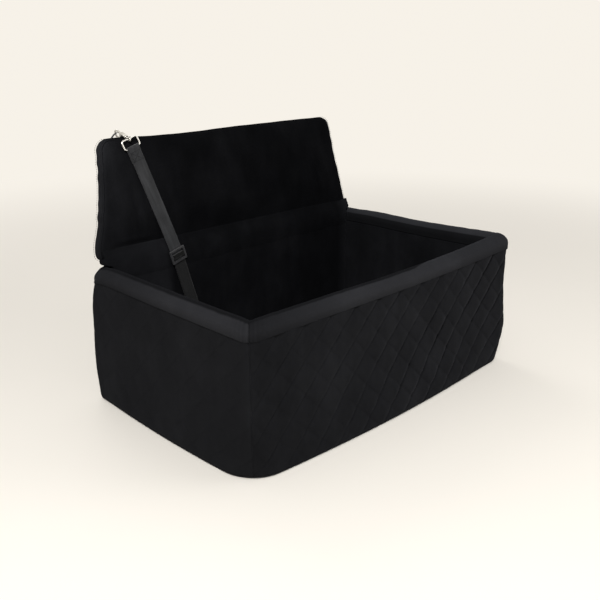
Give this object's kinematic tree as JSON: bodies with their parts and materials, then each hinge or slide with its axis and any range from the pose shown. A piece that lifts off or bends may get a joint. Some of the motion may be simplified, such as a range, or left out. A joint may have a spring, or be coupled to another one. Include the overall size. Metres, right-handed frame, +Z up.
{
  "type": "dog car seat",
  "caption": "Padded open-topped booster box with quilted outer walls, a folding plush backrest, a loose cushion and a short clip-on leash strap.",
  "frame": {"origin": "centre of the underside, on the surface that the seat stands on", "axes": "+X along the long front wall, +Y from the front wall to the backrest, +Z up"},
  "size_m": [0.66, 0.457, 0.4623],
  "materials": {
    "quilted_velvet": "short pile, quilted",
    "border_velvet": "short pile",
    "plush": "long soft pile",
    "base_cloth": "coarse woven",
    "foam": "open-cell foam",
    "base_board": "foamed board",
    "webbing": "ribbed webbing",
    "black_plastic": "fine grain",
    "nickel": "nickel plated"
  },
  "bodies": {
    "box": {"outer_panel_front": "quilted_velvet", "outer_panel_right": "quilted_velvet", "outer_panel_rear": "quilted_velvet", "outer_panel_left": "quilted_velvet", "rim_border_front": "border_velvet", "rim_border_right": "border_velvet", "rim_border_rear": "border_velvet", "rim_border_left": "border_velvet", "lining_front": "plush", "lining_right": "plush", "lining_rear": "plush", "lining_left": "plush", "foam_board_front": "foam", "foam_board_right": "foam", "foam_board_rear": "foam", "foam_board_left": "foam", "base_cover": "base_cloth", "base_board": "base_board", "floor_lining": "plush", "hinge_strip": "border_velvet", "fold_cover": "plush", "leash_anchor_patch": "webbing", "leash_webbing": "webbing"},
    "backrest": {"backrest_front_cover": "plush", "backrest_side_band": "border_velvet", "backrest_rear_cover": "border_velvet", "backrest_foam": "foam", "hinge_piping": "border_velvet", "hanging_loop": "webbing", "leash_eye": "nickel", "swivel_post": "nickel", "fixing_strap_left": "webbing", "fixing_strap_right": "webbing", "fixing_patch_left": "webbing", "fixing_patch_right": "webbing", "buckle_housing": "black_plastic", "buckle_male": "black_plastic", "strap_adjuster": "black_plastic", "strap_adjuster_loop": "webbing"},
    "cushion": {"seat_cushion": "plush"},
    "slider": {"leash_slider": "black_plastic", "leash_slider_loop": "webbing"},
    "hook": {"snap_hook": "nickel"},
    "gate": {"hook_gate": "nickel"},
    "prong_top": {"buckle_prong_top": "black_plastic"},
    "prong_bottom": {"buckle_prong_bottom": "black_plastic"}
  },
  "joints": [
    {"name": "backrest_fold", "type": "hinge", "parent": "box", "child": "backrest", "pos_m": [0, 0.184, 0.262], "axis": [-1, 0, 0], "range_deg": [-98, 10], "deforming": ["leash_webbing", "fold_cover"]},
    {"name": "cushion_lift", "type": "slide", "parent": "box", "child": "cushion", "axis": [0, 0, 1], "range_m": [0, 0.26]},
    {"name": "slider_slide", "type": "slide", "parent": "box", "child": "slider", "axis": [0.2857, 0, -0.9583], "range_m": [0, 0.09]},
    {"name": "hook_swivel", "type": "hinge", "parent": "backrest", "child": "hook", "pos_m": [-0.22569, 0.20739, 0.44744], "axis": [-0.1679, 0.8872, 0.4298], "range_deg": [-12, 12]},
    {"name": "gate_open", "type": "hinge", "parent": "hook", "child": "gate", "pos_m": [-0.22767, 0.22811, 0.45089], "axis": [0.9583, 0.0447, 0.2822], "range_deg": [0, 36], "stiffness_Nm_per_rad": 0.03, "springref_deg": -28.65},
    {"name": "prong_top_squeeze", "type": "hinge", "parent": "backrest", "child": "prong_top", "pos_m": [-0.0015, 0.24047, 0.38235], "axis": [0, 0.9877, -0.1564], "range_deg": [0, 10], "stiffness_Nm_per_rad": 0.4, "springref_deg": -5.73},
    {"name": "prong_bottom_squeeze", "type": "hinge", "parent": "backrest", "child": "prong_bottom", "pos_m": [-0.0015, 0.2365, 0.35726], "axis": [0, -0.9877, 0.1564], "range_deg": [0, 10]}
  ],
  "couplings": [
    {"joint": "prong_bottom_squeeze", "follows": "prong_top_squeeze", "ratio": 1}
  ]
}
